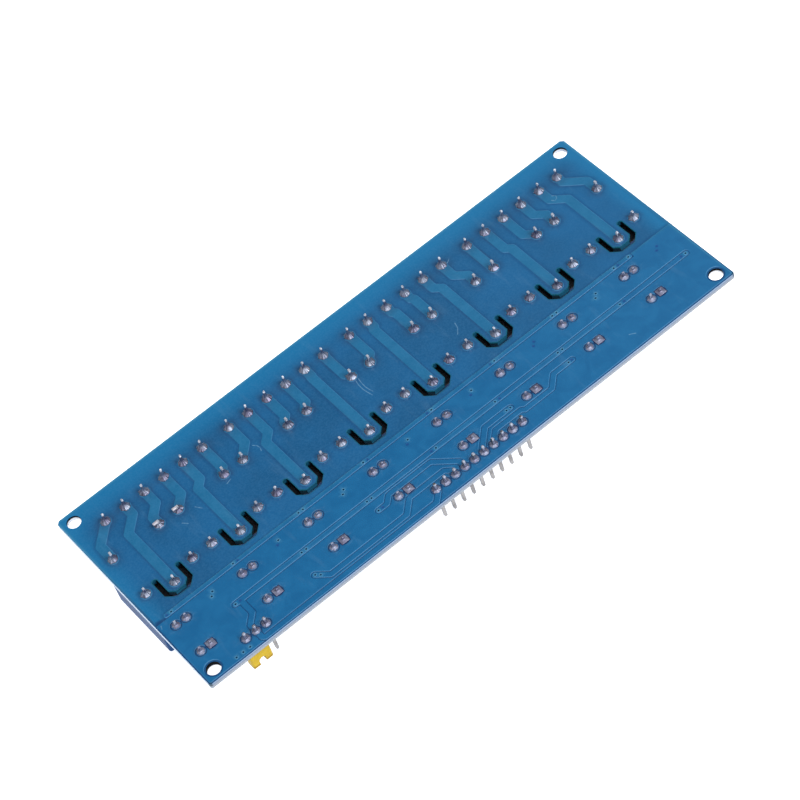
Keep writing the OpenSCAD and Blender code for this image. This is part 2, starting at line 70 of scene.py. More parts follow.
control = [
    (1.0, [(-54.4, -16.55), (66, -16.55)]),
    (1.0, [(-53, -16.55), (-53, -20.7), (-55.1, -22.8), (-55.1, -26.9), (-54.6, -27.4), (-10.4, -27.4), (-8.53, -25.5), (-8.53, -24.8)]),
    (1.0, [(-38.7, -22.9), (-36.3, -25.3), (-16.6, -25.3), (-13.65, -22.35), (-4.6, -22.35), (-3.45, -23.5), (-3.45, -24.8)]),
    (0.95, [(-20, -20.1), (-17.7, -20.1), (-16.15, -18.55), (-5.15, -18.55), (-0.91, -22.8), (-0.91, -24.8)]),
    (1.0, [(4.17, -24.8), (4.17, -24.1), (8.15, -20.1), (14.9, -20.1)]),
    (0.95, [(6.71, -24.8), (9.25, -22.25), (16.05, -22.25), (16.65, -22.85), (23.9, -22.85), (26.6, -20.15), (31.6, -20.15)]),
    (0.9, [(-65.95, -8.15), (57.45, -8.15)])]
vias = [(relay_x(k) + a, b) for k in range(CH) for a, b in ((-5.95, -8.15), (-4.8, -8.15), (3.25, -11.4), (4.05, -10.5))]
vias += [(relay_x(k) + a, -16.55) for k in range(7) for a in (5.6, 6.8)]
vias += [(64.7, -16.55), (65.9, -16.55), (57.2, -8.15), (-61.6, -27), (-59.9, -27), (-58.2, -27), (-38.6, -22.95), (-37.8, -23.8),
         (-20, -20.1), (-18.9, -20.1), (13.9, -20.1), (14.9, -20.1), (30.6, -20.15), (31.5, -20.15)]
SLOT = [(-3.0, 0.25), (-3.0, -3.9), (-1.5, -5.4), (1.5, -5.4), (3.0, -3.9), (3.0, 0.25)]
mount = [(sx * 66.4, sy * 25.6) for sx in (-1, 1) for sy in (-1, 1)]

# vias whose holes the mask has closed over
tented = [(relay_x(k) + a, -8.15) for k, a in ((0, -5.95), (1, -4.8), (3, -4.8), (4, -5.95), (5, -5.95), (7, -4.8))]
tented += [(relay_x(k) + a, -16.55) for k, a in ((0, 6.8), (3, 5.6), (4, 6.8), (6, 6.8))] + [(64.7, -16.55), (31.5, -20.15), (-18.9, -20.1)]
tented += [(relay_x(k) + 3.25, -11.4) for k in (1, 3, 4, 5, 7)] + [(relay_x(k) + 4.05, -10.5) for k in (5, 7)]
square_pad = [(x, y) for x, y in opto if any(abs(x - opto_x(k) - 1.27) < 0.01 for k in range(CH)) and y < OPTO_Y]
# fine scratches and dried flux lines in the mask
scratches = [
    [(-2.9, 10.0), (-3.2, 8.6), (-3.25, 7.0), (-3.05, 5.6), (-2.8, 4.3)],
    [(-2.2, 10.0), (-2.45, 8.6), (-2.5, 7.0), (-2.35, 5.9), (-2.1, 5.0)],
    [(-68.5, -10.3), (-68.2, -9.5)],
    [(-50.4, 8.1), (-49.5, 7.0)],
    [(-46.1, 9.4), (-45.2, 8.0)],
    [(-28.3, 13.0), (-27.7, 12.3), (-27.5, 11.4), (-27.8, 10.5)],
    [(-37.9, 9.1), (-36.6, 9.5)],
    [(57.2, 17.4), (57.9, 16.9), (57.6, 16.1), (56.8, 15.8), (56.4, 16.5)],
    [(30.2, 20.2), (31.1, 20.8)],
    [(19.5, 3.2), (20.6, 4.6), (21.0, 6.1)],
    [(43.8, -24.1), (45.0, -24.9)]]

# ------------------------------------------------------------------ distance fields over numpy points
def seg_d(P, a, b):
    a = np.array(a); b = np.array(b)
    v = b - a
    L = (v * v).sum()
    t = np.clip(((P - a) @ v) / max(L, 1e-12), 0, 1)
    return np.hypot(*(P - a - t[:, None] * v).T)
def path_d(P, path):
    return np.min([seg_d(P, path[i], path[i + 1]) for i in range(len(path) - 1)], axis=0)
def pts_d(P, pts):
    d = np.full(len(P), 1e9)
    for p in pts:
        d = np.minimum(d, np.hypot(P[:, 0] - p[0], P[:, 1] - p[1]))
    return d
SH = 0.22                                   # width of a copper edge under the mask
def d_power(P):
    d = np.minimum(pts_d(P, com + coil + throw + term) - 1.25, 1e9)
    for i in range(24):
        d = np.minimum(d, path_d(P, power_path(i)) - 1.0)
    return d
def d_control(P):
    d = pts_d(P, opto + hdr + sup) - 0.95
    for w, p in control:
        d = np.minimum(d, path_d(P, p) - w / 2)
    return d
def d_pour(P):
    x, y = P[:, 0], P[:, 1]
    top = np.where(x > 58.1, -7.9, -8.6 - 2 * SH)
    return np.maximum.reduce([y - top, np.abs(x) - (LX - 0.45), -(WY - 0.45) - y])
def copper(P):
    dc = d_control(P)
    dp = np.maximum.reduce([d_pour(P), 2 * SH - dc, 2.1 - pts_d(P, mount)])
    return np.minimum.reduce([dc, dp, d_power(P)])
def ribbon(path, w):
    """outline of a mitred strip of half width w along a path"""
    p = [np.array(q, dtype=float) for q in path]
    def nrm(a, b):
        u = (b - a) / np.linalg.norm(b - a)
        return np.array([-u[1], u[0]])
    def side(i, d):
        if i == 0: return p[0] + d * nrm(p[0], p[1])
        if i == len(p) - 1: return p[i] + d * nrm(p[i - 1], p[i])
        a, b = nrm(p[i - 1], p[i]), nrm(p[i], p[i + 1])
        m = (a + b) / np.linalg.norm(a + b)
        return p[i] + m * d / (m @ a)
    return [tuple(side(i, w)) for i in range(len(p))] + [tuple(side(i, -w)) for i in range(len(p) - 1, -1, -1)]
def in_poly(P, pts):
    x, y = P[:, 0], P[:, 1]
    c = np.zeros(len(P), dtype=bool)
    n = len(pts)
    for i in range(n):
        (x1, y1), (x2, y2) = pts[i], pts[(i + 1) % n]
        if y1 == y2: continue
        c ^= ((y1 > y) != (y2 > y)) & (x < (x2 - x1) * (y - y1) / (y2 - y1) + x1)
    return c
def slot_in(P, w):
    """inside a milled slot widened to half width w"""
    m = np.zeros(len(P), dtype=bool)
    for k in range(CH):
        s = [(relay_x(k) + a, b) for a, b in SLOT]
        near = np.hypot(P[:, 0] - relay_x(k), P[:, 1] + 2.5) < 8
        if near.any():
            q = P[near]
            m[near] |= in_poly(q, ribbon(s, w)) | (pts_d(q, [s[0], s[-1]]) < w)
    return m
def poly_d(P, pts):
    n = len(pts)
    return np.min([seg_d(P, pts[i], pts[(i + 1) % n]) for i in range(n)], axis=0)

# ------------------------------------------------------------------ constrained triangulation of the soldered face
verts, edges = [], []
def poly(pts, closed=True):
    n0 = len(verts)
    verts.extend(pts)
    n = len(pts)
    for i in range(n if closed else n - 1):
        edges.append((n0 + i, n0 + (i + 1) % n))
def circle(c, r, n, ph=0.0):
    poly([(c[0] + r * math.cos(2 * math.pi * (i + ph) / n), c[1] + r * math.sin(2 * math.pi * (i + ph) / n)) for i in range(n)])
def offset(path, r, n=20):
    for i in range(len(path) - 1):
        a, b = np.array(path[i]), np.array(path[i + 1])
        u = (b - a) / np.linalg.norm(b - a)
        m = np.array([-u[1], u[0]]) * r
        poly([tuple(a + m), tuple(b + m)], False)
        poly([tuple(a - m), tuple(b - m)], False)
    for p in path:
        circle(p, r, n)
c, cn = 0.7, 0.3
INS = 0.02
outline = [(-LX + cn, -WY + INS), (LX - cn, -WY + INS), (LX - INS, -WY + cn), (LX - INS, WY - c), (LX - c, WY - INS), (-LX + c, WY - INS), (-LX + INS, WY - c), (-LX + INS, -WY + cn)]
poly(outline)
for p in mount:
    for r in (1.6 + INS, 2.1 - 2 * SH + 0.02, 2.1 - SH, 2.1): circle(p, r, 48)
for k in range(CH):
    s = [(relay_x(k) + a, b) for a, b in SLOT]
    for r in (0.6 + INS, 0.78, 0.95):
        poly(ribbon(s, r))
        for q in (s[0], s[-1]): circle(q, r, 32)
for i in range(24):
    for r in (1.0, 1.0 + SH): offset(power_path(i), r, 16)
for p in com + coil + throw + term:
    for r in (1.25, 1.25 + SH): circle(p, r, 24)
for w, p in control:
    for r in (w / 2, w / 2 + SH, w / 2 + 2 * SH): offset(p, r, 12)
for p in opto + hdr + sup:
    for r in (0.95, 0.95 + SH, 0.95 + 2 * SH): circle(p, r, 20)
for q in scratches:
    poly(q, False)
    offset(q, 0.13, 6)
for p in vias:
    verts.append(p)
    for r in (0.46, 0.36, 0.2, 0.12): circle(p, r, 12)
poly([(-LX + 0.45, -8.6 - 2 * SH), (58.1, -8.6 - 2 * SH), (58.1, -7.9), (LX - 0.45, -7.9), (LX - 0.45, -WY + 0.45), (-LX + 0.45, -WY + 0.45)])
poly([(-LX + 0.45 - SH, -8.6 - SH), (58.1 - SH, -8.6 - SH), (58.1 - SH, -7.9 + SH), (LX - 0.45 + SH, -7.9 + SH), (LX - 0.45 + SH, -WY + 0.45 - SH), (-LX + 0.45 - SH, -WY + 0.45 - SH)])
rng = np.random.default_rng(7)
gx, gy = np.meshgrid(np.arange(-LX + 0.6, LX - 0.4, 0.8), np.arange(-WY + 0.6, WY - 0.4, 0.8))
grid = np.stack([gx.ravel(), gy.ravel()], 1) + rng.uniform(-0.12, 0.12, (gx.size, 2))
verts.extend([tuple(p) for p in grid])
vo, eo, fo, *_ = delaunay_2d_cdt([Vector(v) for v in verts], edges, [], 1, 1e-4, False)
V = np.array([(v[0], v[1]) for v in vo])
T = np.array([f for f in fo if len(f) == 3])

# ------------------------------------------------------------------ node helpers
class Mat:
    """a node material built in code"""
    def __init__(self, name):
        self.m = bpy.data.materials.new(name)
        self.m.use_nodes = True
        self.nt = self.m.node_tree
        self.nt.nodes.clear()
        self.out = self.nt.nodes.new("ShaderNodeOutputMaterial")
        self.b = self.nt.nodes.new("ShaderNodeBsdfPrincipled")
        self.nt.links.new(self.b.outputs[0], self.out.inputs[0])
    def put(self, sock, val):
        if isinstance(val, bpy.types.NodeSocket): self.nt.links.new(val, sock)
        else: sock.default_value = val
    def n(self, kind, ins=None, out=0, **props):
        nd = self.nt.nodes.new("ShaderNode" + kind)
        for k, v in props.items(): setattr(nd, k, v)
        for k, v in (ins or {}).items(): self.put(nd.inputs[k], v)
        return nd.outputs[out]
    def set(self, **kw):
        for k, v in kw.items(): self.put(self.b.inputs[k.replace("_", " ")], v)
    def math(self, op, a, b=0.0, c=0.0, clamp=False):
        return self.n("Math", {0: a, 1: b, 2: c}, operation=op, use_clamp=clamp)
    def mul(self, a, b): return self.math("MULTIPLY", a, b)
    def add(self, a, b): return self.math("ADD", a, b)
    def obj(self):
        return self.n("TexCoord", out=3)
    def noise(self, scale, detail=3.0, rough=0.5, vec=None, dist=0.0, out=0):
        return self.n("TexNoise", {"Vector": vec or self.obj(), "Scale": scale, "Detail": detail, "Roughness": rough, "Distortion": dist}, out=out)
    def ramp(self, fac, stops, interp="LINEAR"):
        nd = self.nt.nodes.new("ShaderNodeValToRGB")
        nd.color_ramp.interpolation = interp
        e = nd.color_ramp.elements
        while len(e) < len(stops): e.new(0.5)
        for i, (p, col) in enumerate(stops):
            e[i].position = p
            e[i].color = col if len(col) == 4 else (*col, 1)
        self.put(nd.inputs[0], fac)
        return nd.outputs[0]
    def smooth(self, v, lo, hi, a=0.0, b=1.0):
        return self.n("MapRange", {0: v, 1: lo, 2: hi, 3: a, 4: b}, interpolation_type="SMOOTHSTEP")
    def mix(self, fac, a, b, blend="MIX"):
        nd = self.nt.nodes.new("ShaderNodeMix")
        nd.data_type = "RGBA"
        nd.blend_type = blend
        self.put(nd.inputs[0], fac)
        self.put(nd.inputs[6], a if isinstance(a, bpy.types.NodeSocket) else (*a, 1) if len(a) == 3 else a)
        self.put(nd.inputs[7], b if isinstance(b, bpy.types.NodeSocket) else (*b, 1) if len(b) == 3 else b)
        return nd.outputs[2]
    def attr(self, name, out=2):
        return self.n("Attribute", out=out, attribute_name=name)
    def bump(self, height, strength=0.2, dist=0.0001, normal=None):
        ins = {"Height": height, "Strength": strength, "Distance": dist}
        if normal is not None: ins["Normal"] = normal
        return self.n("Bump", ins)

def srgb(r, g, b):
    f = lambda u: (u / 12.92 if u <= 0.04045 else ((u + 0.055) / 1.055) ** 2.4)
    return tuple(f(v / 255.0) for v in (r, g, b))

def mesh_obj(name, verts, faces, mat=None, smooth=False, attrs=None, unit=MM):
    me = bpy.data.meshes.new(name)
    me.from_pydata([(v[0] * unit, v[1] * unit, v[2] * unit) for v in verts], [], [tuple(int(i) for i in f) for f in faces])
    if mat: me.materials.append(mat)
    if smooth: me.polygons.foreach_set("use_smooth", [True] * len(me.polygons))
    for k, v in (attrs or {}).items():
        a = me.attributes.new(k, "FLOAT", "POINT")
        a.data.foreach_set("value", np.asarray(v, dtype=np.float32))
    me.update()
    ob = bpy.data.objects.new(name, me)
    bpy.context.scene.collection.objects.link(ob)
    return ob

def sstep(v, lo, hi):
    t = np.clip((v - lo) / (hi - lo), 0, 1)
    return t * t * (3 - 2 * t)

# ------------------------------------------------------------------ the masked copper and laminate of the soldered face, as one thin closed skin
vC = V[T].mean(axis=1)
ok = (pts_d(vC, mount) > 1.6 + INS * 0.9) & ~slot_in(vC, 0.6 + INS * 0.98) & (np.abs(vC[:, 0]) < LX) & (np.abs(vC[:, 1]) < WY)
T = T[ok]
used = np.unique(T)
remap = -np.ones(len(V), dtype=int)
remap[used] = np.arange(len(used))
V, T = V[used], remap[T]
a, b, cc = V[T[:, 0]], V[T[:, 1]], V[T[:, 2]]
flip = ((b - a)[:, 0] * (cc - a)[:, 1] - (b - a)[:, 1] * (cc - a)[:, 0]) < 0
T[flip] = T[flip][:, ::-1]
H = 0.062
dcu = copper(V)
dvia = pts_d(V, [v for v in vias if min(math.hypot(v[0] - t[0], v[1] - t[1]) for t in tented) > 0.01])
dtent = pts_d(V, tented)
cu = np.clip(1 - dcu / SH, 0, 1)
zt = ZS + 0.014 + cu * H + np.interp(dvia, [0.0, 0.12, 0.2, 0.28, 0.36, 0.46], [-0.09, -0.08, 0.0, 0.035, 0.035, 0.0])
zt = np.maximum(zt - np.interp(dtent, [0.0, 0.15, 0.4], [0.03, 0.02, 0.0]), ZS + 0.008)
top = np.column_stack([V, zt])
bot = np.column_stack([V, np.full(len(V), ZS + 0.002)])
ed = {}
for t in T:
    for i in range(3):
        e = (int(t[i]), int(t[(i + 1) % 3]))
        ed[e] = True
rim = [e for e in ed if (e[1], e[0]) not in ed]
n = len(V)
faces = [tuple(t) for t in T] + [tuple(t[::-1] + n) for t in T] + [(e[1], e[0], e[0] + n, e[1] + n) for e in rim]

P = V
hv = P[:, 1] > -8.2                                      # laminate half
jt = pts_d(P, term)
jn = pts_d(P, throw)
jc = pts_d(P, com + coil)
jo = pts_d(P, opto + hdr + sup)
slot_only = np.full(len(P), 9.0)
for k in range(CH):
    slot_only = np.minimum(slot_only, path_d(P, [(relay_x(k) + a_, b_) for a_, b_ in SLOT]) - 0.6)
ring_gap = jo - 0.95
gy = (copper(P + np.array([0, 0.05])) - copper(P - np.array([0, 0.05]))) / 0.1     # which way a copper edge faces
gx = (copper(P + np.array([0.05, 0])) - copper(P - np.array([0.05, 0]))) / 0.1
edge = np.minimum.reduce([LX - np.abs(P[:, 0]), WY - np.abs(P[:, 1])])
attrs = {
    "cu": cu,
    "via": np.interp(dvia, [0.0, 0.2, 0.28, 0.38, 0.5], [0.0, 0.3, 1.0, 0.8, 0.0]),
    "tent": np.interp(dtent, [0.0, 0.2, 0.36, 0.5], [1.0, 0.8, 0.35, 0.0]),
    "foot": np.interp(dcu, [0.04, 0.18, 0.30, 0.62], [0, 1, 1, 0]) * np.where(hv, 0.52, 0.0),
    "lv": np.where(hv, 0.0, 1.0),
    # painted highlight weight: copper edges that face the front, and on the power half those that face the right
    "face": np.maximum(np.clip(-gy * 1.3, 0, 1), np.clip(gx * 0.95, 0, 1) * hv),
    "mark": np.max([np.clip(1 - path_d(P, q) / 0.13, 0, 1) for q in scratches], axis=0),
    "viahole": sstep(dvia, 0.24, 0.13),
    # brown flux stain together with painted shade round the joints
    "stain_and_shade": 0.62 * np.maximum.reduce([sstep(jt, 3.6, 1.0), 0.9 * sstep(jn, 3.4, 1.0), 0.6 * sstep(jc, 2.8, 1.0)]) * hv + 0.35 * sstep(jo, 1.9, 1.1) * (~hv),
    "haze": np.maximum(0.8 * sstep(jo, 3.4, 1.3), 0.35 * sstep(jc, 3.2, 1.4)),
    "slotrim": 0.8 * sstep(slot_only, 0.32, 0.05),
    # painted light: lighter towards the far edge and at both ends of the power half
    "painted_light_margin": np.clip(sstep(P[:, 1], 20.5, 27.5) * 1.0 + np.where(P[:, 0] > 0, 1.0, 0.85) * sstep(LX - np.abs(P[:, 0]), 5.5, 0.2) * hv, 0, 1),
    "edge": sstep(edge, 0.45, 0.05),
    "padring": sstep(np.abs(jo - 1.08), 0.2, 0.07) * (cu < 0.999),
}
attrs = {k: np.concatenate([v, v]) for k, v in attrs.items()}

# ------------------------------------------------------------------ materials
def mask_material():
    m = Mat("blue_solder_mask")
    co = m.obj()
    cu_, halo_stain_shade, haze, rimg = m.attr("cu"), m.attr("stain_and_shade"), m.attr("haze"), m.attr("slotrim")
    painted_light_margin, via, vh = m.attr("painted_light_margin"), m.attr("via"), m.attr("viahole")
    big = m.noise(60, 3, 0.55, co)
    px_, py_ = m.n("SeparateXYZ", {0: co}, out=0), m.n("SeparateXYZ", {0: co}, out=1)
    mid = m.noise(260, 4, 0.6, co, 0.6)
    fine = m.noise(1800, 3, 0.6, co)
    # brushed smears across the board, long in y
    sm = m.n("Mapping", {"Vector": co, "Scale": (420, 90, 1), "Rotation": (0, 0, 0.25)})
    smear = m.n("TexNoise", {"Vector": sm, "Scale": 1.0, "Detail": 3.0, "Roughness": 0.6})
    lam = m.mix(m.smooth(big, 0.35, 0.68), LAM_D, LAM_L)
    # painted light: the laminate is painted lighter towards the far edge and at both ends of the power half
    lam = m.mix(painted_light_margin, lam, LAM_LIT_MARGIN)
    lv, face = m.attr("lv"), m.attr("face")
    cop = m.mix(lv, m.mix(m.smooth(mid, 0.3, 0.7), CU_HD, CU_HL), m.mix(m.smooth(mid, 0.3, 0.7), CU_D, CU_L))
    base = m.mix(cu_, lam, cop)
    # cloudy grain over the power half, and a painted sheen: the mask is painted lighter towards the right end
    base = m.mix(m.mul(m.math("SUBTRACT", 1.0, lv), m.smooth(m.noise(2400, 3, 0.7, co), 0.3, 0.75, 0.0, m.smooth(px_, 0.02, 0.06, 0.2, 0.12))), base, GRAIN)
    base = m.mix(m.smooth(px_, -0.03, 0.069, 0.0, 0.035), base, HAZE_AND_SHEEN)
    # painted highlight: the mask is painted paler in a thin band along the far edge, the right end, and the left end
    # behind y = -8 mm
    rim_d = m.math("MINIMUM", m.math("SUBTRACT", LX * MM, m.math("ABSOLUTE", px_)), m.math("SUBTRACT", WY * MM, py_))
    rim_highlight_w = m.mul(m.smooth(rim_d, 0.0007, 0.0001), m.math("MAXIMUM", m.smooth(py_, -0.010, -0.008), m.math("GREATER_THAN", px_, 0.0)))
    base = m.mix(m.mul(rim_highlight_w, 0.5), base, RIM_HIGHLIGHT)
    # the mask is thick and dark at the foot of a copper edge and thin and light on its shoulder; the light shoulder
    # line is painted highlight, drawn only on edges that face the front (on the power half also the right), and the
    # dark low-voltage troughs are painted darker beside edges that face away from the front, which is painted shade
    base = m.mix(m.mul(m.attr("foot"), 0.8), base, FOOT)
    base = m.mix(m.mul(m.mul(lv, m.smooth(cu_, 0.55, 0.12)), m.add(0.85, m.mul(face, -0.25))), base, FOOT)
    line = m.mul(m.smooth(cu_, 0.25, 0.6), m.smooth(cu_, 0.998, 0.90))
    base = m.mix(m.mul(m.mul(line, face), m.add(0.34, m.mul(lv, 0.28))), base, CREST_HIGHLIGHT)
    # brown flux stain and painted shade round the power joints
    st = m.mul(halo_stain_shade, m.smooth(mid, 0.34, 0.62, 0.35, 1.0))
    base = m.mix(m.mul(st, 0.55), base, STAIN_AND_SHADE)
    # white flux haze left by the wash
    hz = m.mul(haze, m.smooth(m.noise(520, 5, 0.65, co, 1.2), 0.48, 0.78))
    base = m.mix(m.mul(hz, 0.16), base, HAZE_AND_SHEEN)
    sp = m.smooth(smear, 0.56, 0.74)
    base = m.mix(m.mul(sp, 0.06), base, HAZE_AND_SHEEN)
    base = m.mix(m.mul(m.attr("padring"), 0.7), base, PADRING)
    base = m.mix(m.mul(m.attr("tent"), 0.7), base, TENT)
    base = m.mix(rimg, base, RIM)
    base = m.mix(m.mul(via, 0.45), base, VIA)
    base = m.mix(vh, base, srgb(3, 28, 50))
    # the two front corners are chipped down to dark resin
    chip = m.mul(m.smooth(m.math("ABSOLUTE", px_), LX * MM - 0.0009, LX * MM - 0.0003), m.smooth(py_, -WY * MM + 0.0007, -WY * MM + 0.0002))
    base = m.mix(m.mul(chip, 0.8), base, srgb(20, 54, 62))
    # small light flakes of dried flux among the power joints, and scratches
    fl = m.mul(m.smooth(m.noise(1500, 2, 0.5, co), 0.70, 0.76), m.smooth(m.noise(190, 2, 0.5, co), 0.50, 0.62))
    base = m.mix(m.mul(m.mul(fl, halo_stain_shade), 0.5), base, HAZE_AND_SHEEN)
    base = m.mix(m.mul(m.attr("mark"), m.smooth(fine, 0.3, 0.6, 0.25, 0.75)), base, HAZE_AND_SHEEN)
    rough = m.add(m.add(0.26, m.mul(mid, 0.10)), m.mul(hz, 0.25))
    hgt = m.add(m.mul(fine, 0.4), m.add(m.mul(mid, 0.8), m.mul(m.noise(700, 2, 0.5, co), 0.6)))
    m.set(Base_Color=base, Roughness=rough, Normal=m.bump(hgt, 0.12, 0.00006), Metallic=0.0, IOR=1.5, Specular_IOR_Level=m.mul(m.math("SUBTRACT", 1.0, vh), 0.43))
    return m.m
LAM_D, LAM_L, LAM_LIT_MARGIN = srgb(5, 77, 121), srgb(11, 88, 136), srgb(9, 105, 153)
GRAIN, RIM_HIGHLIGHT = srgb(70, 130, 175), srgb(76, 142, 168)
CU_D, CU_L = srgb(8, 89, 137), srgb(15, 97, 145)
CU_HD, CU_HL = srgb(15, 95, 136), srgb(25, 103, 144)
FOOT, CREST_HIGHLIGHT, TENT = srgb(8, 60, 106), srgb(72, 138, 182), srgb(22, 50, 116)
STAIN_AND_SHADE, HAZE_AND_SHEEN, RIM, VIA, PADRING = srgb(44, 60, 84), srgb(120, 160, 188), srgb(8, 84, 92), srgb(104, 168, 192), srgb(12, 34, 76)

def board_edge_material():
    m = Mat("laminate_edge")
    co = m.obj()
    sep = m.n("SeparateXYZ", {0: co}, out=2)
    zz = m.n("MapRange", {0: sep, 1: ZC * MM, 2: ZS * MM, 3: 0.0, 4: 1.0})
    fib = m.n("Mapping", {"Vector": co, "Scale": (300, 300, 5200)})
    lay = m.n("TexNoise", {"Vector": fib, "Scale": 1.0, "Detail": 4.0, "Roughness": 0.65})
    ch = m.noise(900, 4, 0.7, co)
    pale = m.mix(m.smooth(zz, 0.10, 0.80), srgb(140, 144, 149), srgb(96, 114, 140))
    pale = m.mix(m.mul(m.smooth(lay, 0.3, 0.7), 0.2), pale, srgb(150, 158, 172))
    # painted highlight: a light line just under the top corner of the edge
    pale = m.mix(m.mul(m.smooth(zz, 0.74, 0.86), 0.35), pale, srgb(176, 196, 218))
    pale = m.mix(m.mul(m.smooth(ch, 0.55, 0.75), 0.4), pale, srgb(96, 116, 146))
    # the left end catches the light
    nx = m.n("SeparateXYZ", {0: m.n("NewGeometry", out=1)}, out=0)
    pale = m.mix(m.mul(m.smooth(nx, -0.6, -0.9), 0.8), pale, srgb(206, 222, 238))
    # walls of the milled slots and of the holes, with painted light and shade on them
    sx = m.n("SeparateXYZ", {0: co}, out=0)
    sy = m.n("SeparateXYZ", {0: co}, out=1)
    inner = m.math("MULTIPLY", m.math("LESS_THAN", m.math("ABSOLUTE", sx), LX * MM - 0.0003), m.math("LESS_THAN", m.math("ABSOLUTE", sy), WY * MM - 0.0003))
    # slot walls: painted light and shade, teal just under the lip and near black deeper down; walls that face the front
    # (the long wall of each tongue) are painted lighter teal, more so higher up
    ny = m.n("SeparateXYZ", {0: m.n("NewGeometry", out=1)}, out=1)
    front_lit_wall = m.smooth(ny, -0.6, -0.95)
    wall = m.mix(m.smooth(zz, 0.66, 0.97), m.mix(m.smooth(lay, 0.3, 0.7), srgb(6, 8, 12), srgb(14, 18, 24)), srgb(10, 96, 110))
    wall = m.mix(m.mul(front_lit_wall, m.smooth(zz, 0.02, 0.45, 0.35, 1.0)), wall, m.mix(m.smooth(lay, 0.3, 0.7), srgb(14, 70, 96), srgb(26, 94, 122)))
    # mounting holes: painted shadow, the upper part of each wall painted dark, reaching about half way in the back
    # holes, further in the front right one and furthest in the front left one, over a pale wall
    far = m.mul(m.smooth(m.math("ABSOLUTE", sx), 0.0600, 0.0610), m.smooth(m.math("ABSOLUTE", sy), 0.0200, 0.0210))
    front = m.math("LESS_THAN", sy, 0.0)
    lip_shade_line = m.add(0.52, m.mul(front, m.add(-0.42, m.mul(m.math("GREATER_THAN", sx, 0.0), 0.32))))
    bore = m.mix(m.math("MULTIPLY", m.math("SUBTRACT", zz, lip_shade_line), 7.0, clamp=True), srgb(226, 228, 232), m.mix(m.smooth(lay, 0.3, 0.7), srgb(3, 5, 9), srgb(10, 13, 20)))
    pale = m.mix(inner, pale, m.mix(far, wall, bore))
    chip = m.mul(m.smooth(m.math("ABSOLUTE", sx), LX * MM - 0.0008, LX * MM - 0.0003), m.smooth(sy, -WY * MM + 0.0008, -WY * MM + 0.0003))
    pale = m.mix(m.mul(chip, m.smooth(zz, 0.35, 0.6, 0.0, 0.85)), pale, srgb(20, 44, 52))
    blue = srgb(28, 92, 138)
    outer = m.math("SUBTRACT", 1.0, inner)
    skin = m.mul(m.math("MAXIMUM", m.smooth(zz, 0.95, 0.98), m.smooth(zz, 0.05, 0.02)), outer)
    col = m.mix(skin, pale, blue)
    # the component face is masked too
    nz = m.n("SeparateXYZ", {0: m.n("NewGeometry", out=1)}, out=2)
    flat = m.smooth(m.math("ABSOLUTE", nz), 0.7, 0.9)
    col = m.mix(flat, col, srgb(30, 98, 150))
    m.set(Base_Color=col, Roughness=m.mix(flat, (0.75, 0.75, 0.75), (0.35, 0.35, 0.35)), Normal=m.bump(lay, 0.35, 0.0001), Specular_IOR_Level=m.mix(inner, (0.5, 0.5, 0.5), (0.04, 0.04, 0.04)))
    return m.m

def metal(name, base, dark, rough=0.28, scale=1500, bump=0.15, spots=None, metallic=1.0):
    m = Mat(name)
    co = m.obj()
    n1, n2 = m.noise(scale, 4, 0.6, co), m.noise(scale * 0.3, 3, 0.55, co)
    col = m.mix(m.smooth(n2, 0.35, 0.7), base, dark)
    if spots: col = m.mix(m.smooth(m.noise(scale * 0.6, 2, 0.5, co), 0.62, 0.72, 0, 0.7), col, spots)
    m.set(Base_Color=col, Metallic=metallic, Roughness=m.add(rough, m.mul(n1, 0.14)), Normal=m.bump(n1, bump, 0.00003))
    return m.m

def plastic(name, col, rough=0.4, scale=2200, tint=0.12, bump=0.12, coat=0.0):
    m = Mat(name)
    co = m.obj()
    n1, n2 = m.noise(scale, 3, 0.6, co), m.noise(120, 3, 0.5, co)
    c2 = tuple(v * (1 - tint) for v in col)
    c3 = tuple(min(1, v * (1 + tint) + 0.004) for v in col)
    m.set(Base_Color=m.mix(m.smooth(n2, 0.3, 0.7), c2, c3), Roughness=m.add(rough, m.mul(n1, 0.12)), Normal=m.bump(n1, bump, 0.00003))
    if coat: m.b.inputs["Coat Weight"].default_value = coat
    return m.m

MASK = mask_material()
EDGE = board_edge_material()
def solder_material(name, c1, c2, c3, stub, rough, metal_, tip0, tip1):
    m = Mat(name)
    co = m.obj()
    n1, n2 = m.noise(1500, 4, 0.6, co), m.noise(480, 3, 0.55, co)
    zz = m.n("SeparateXYZ", {0: co}, out=2)
    low = m.mix(m.smooth(n2, 0.35, 0.68), c1, c2)
    low = m.mix(m.smooth(m.noise(820, 2, 0.5, co), 0.60, 0.72, 0, 0.6), low, c3)
    # dark flux collar where the joint meets the mask, bright clean stub
    col = m.mix(m.smooth(zz, (ZS + 0.16) * MM, (ZS + 0.03) * MM, 0, 0.5), low, srgb(72, 58, 76))
    col = m.mix(m.smooth(zz, (ZS + tip0) * MM, (ZS + tip1) * MM), col, stub)
    m.set(Base_Color=col, Roughness=m.add(rough, m.mul(n1, 0.16)), Normal=m.bump(n1, 0.25, 0.00003))
    # the cut ends of the leads are frosted
    m.set(Metallic=m.smooth(zz, (ZS + tip0) * MM, (ZS + tip1) * MM, metal_, 0.25))
    return m.m
SOLDER = solder_material("solder", srgb(156, 164, 181), srgb(120, 118, 142), srgb(84, 76, 96), srgb(212, 216, 226), 0.38, 1.0, 2.05, 2.4)
SOLDER_MID = solder_material("solder_relay", srgb(148, 156, 173), srgb(116, 114, 138), srgb(82, 74, 94), srgb(184, 190, 203), 0.40, 1.0, 1.7, 1.98)
SOLDER_LOW = solder_material("solder_small", srgb(153, 158, 179), srgb(124, 122, 146), srgb(94, 84, 106), srgb(155, 161, 177), 0.48, 0.85, 1.35, 1.9)
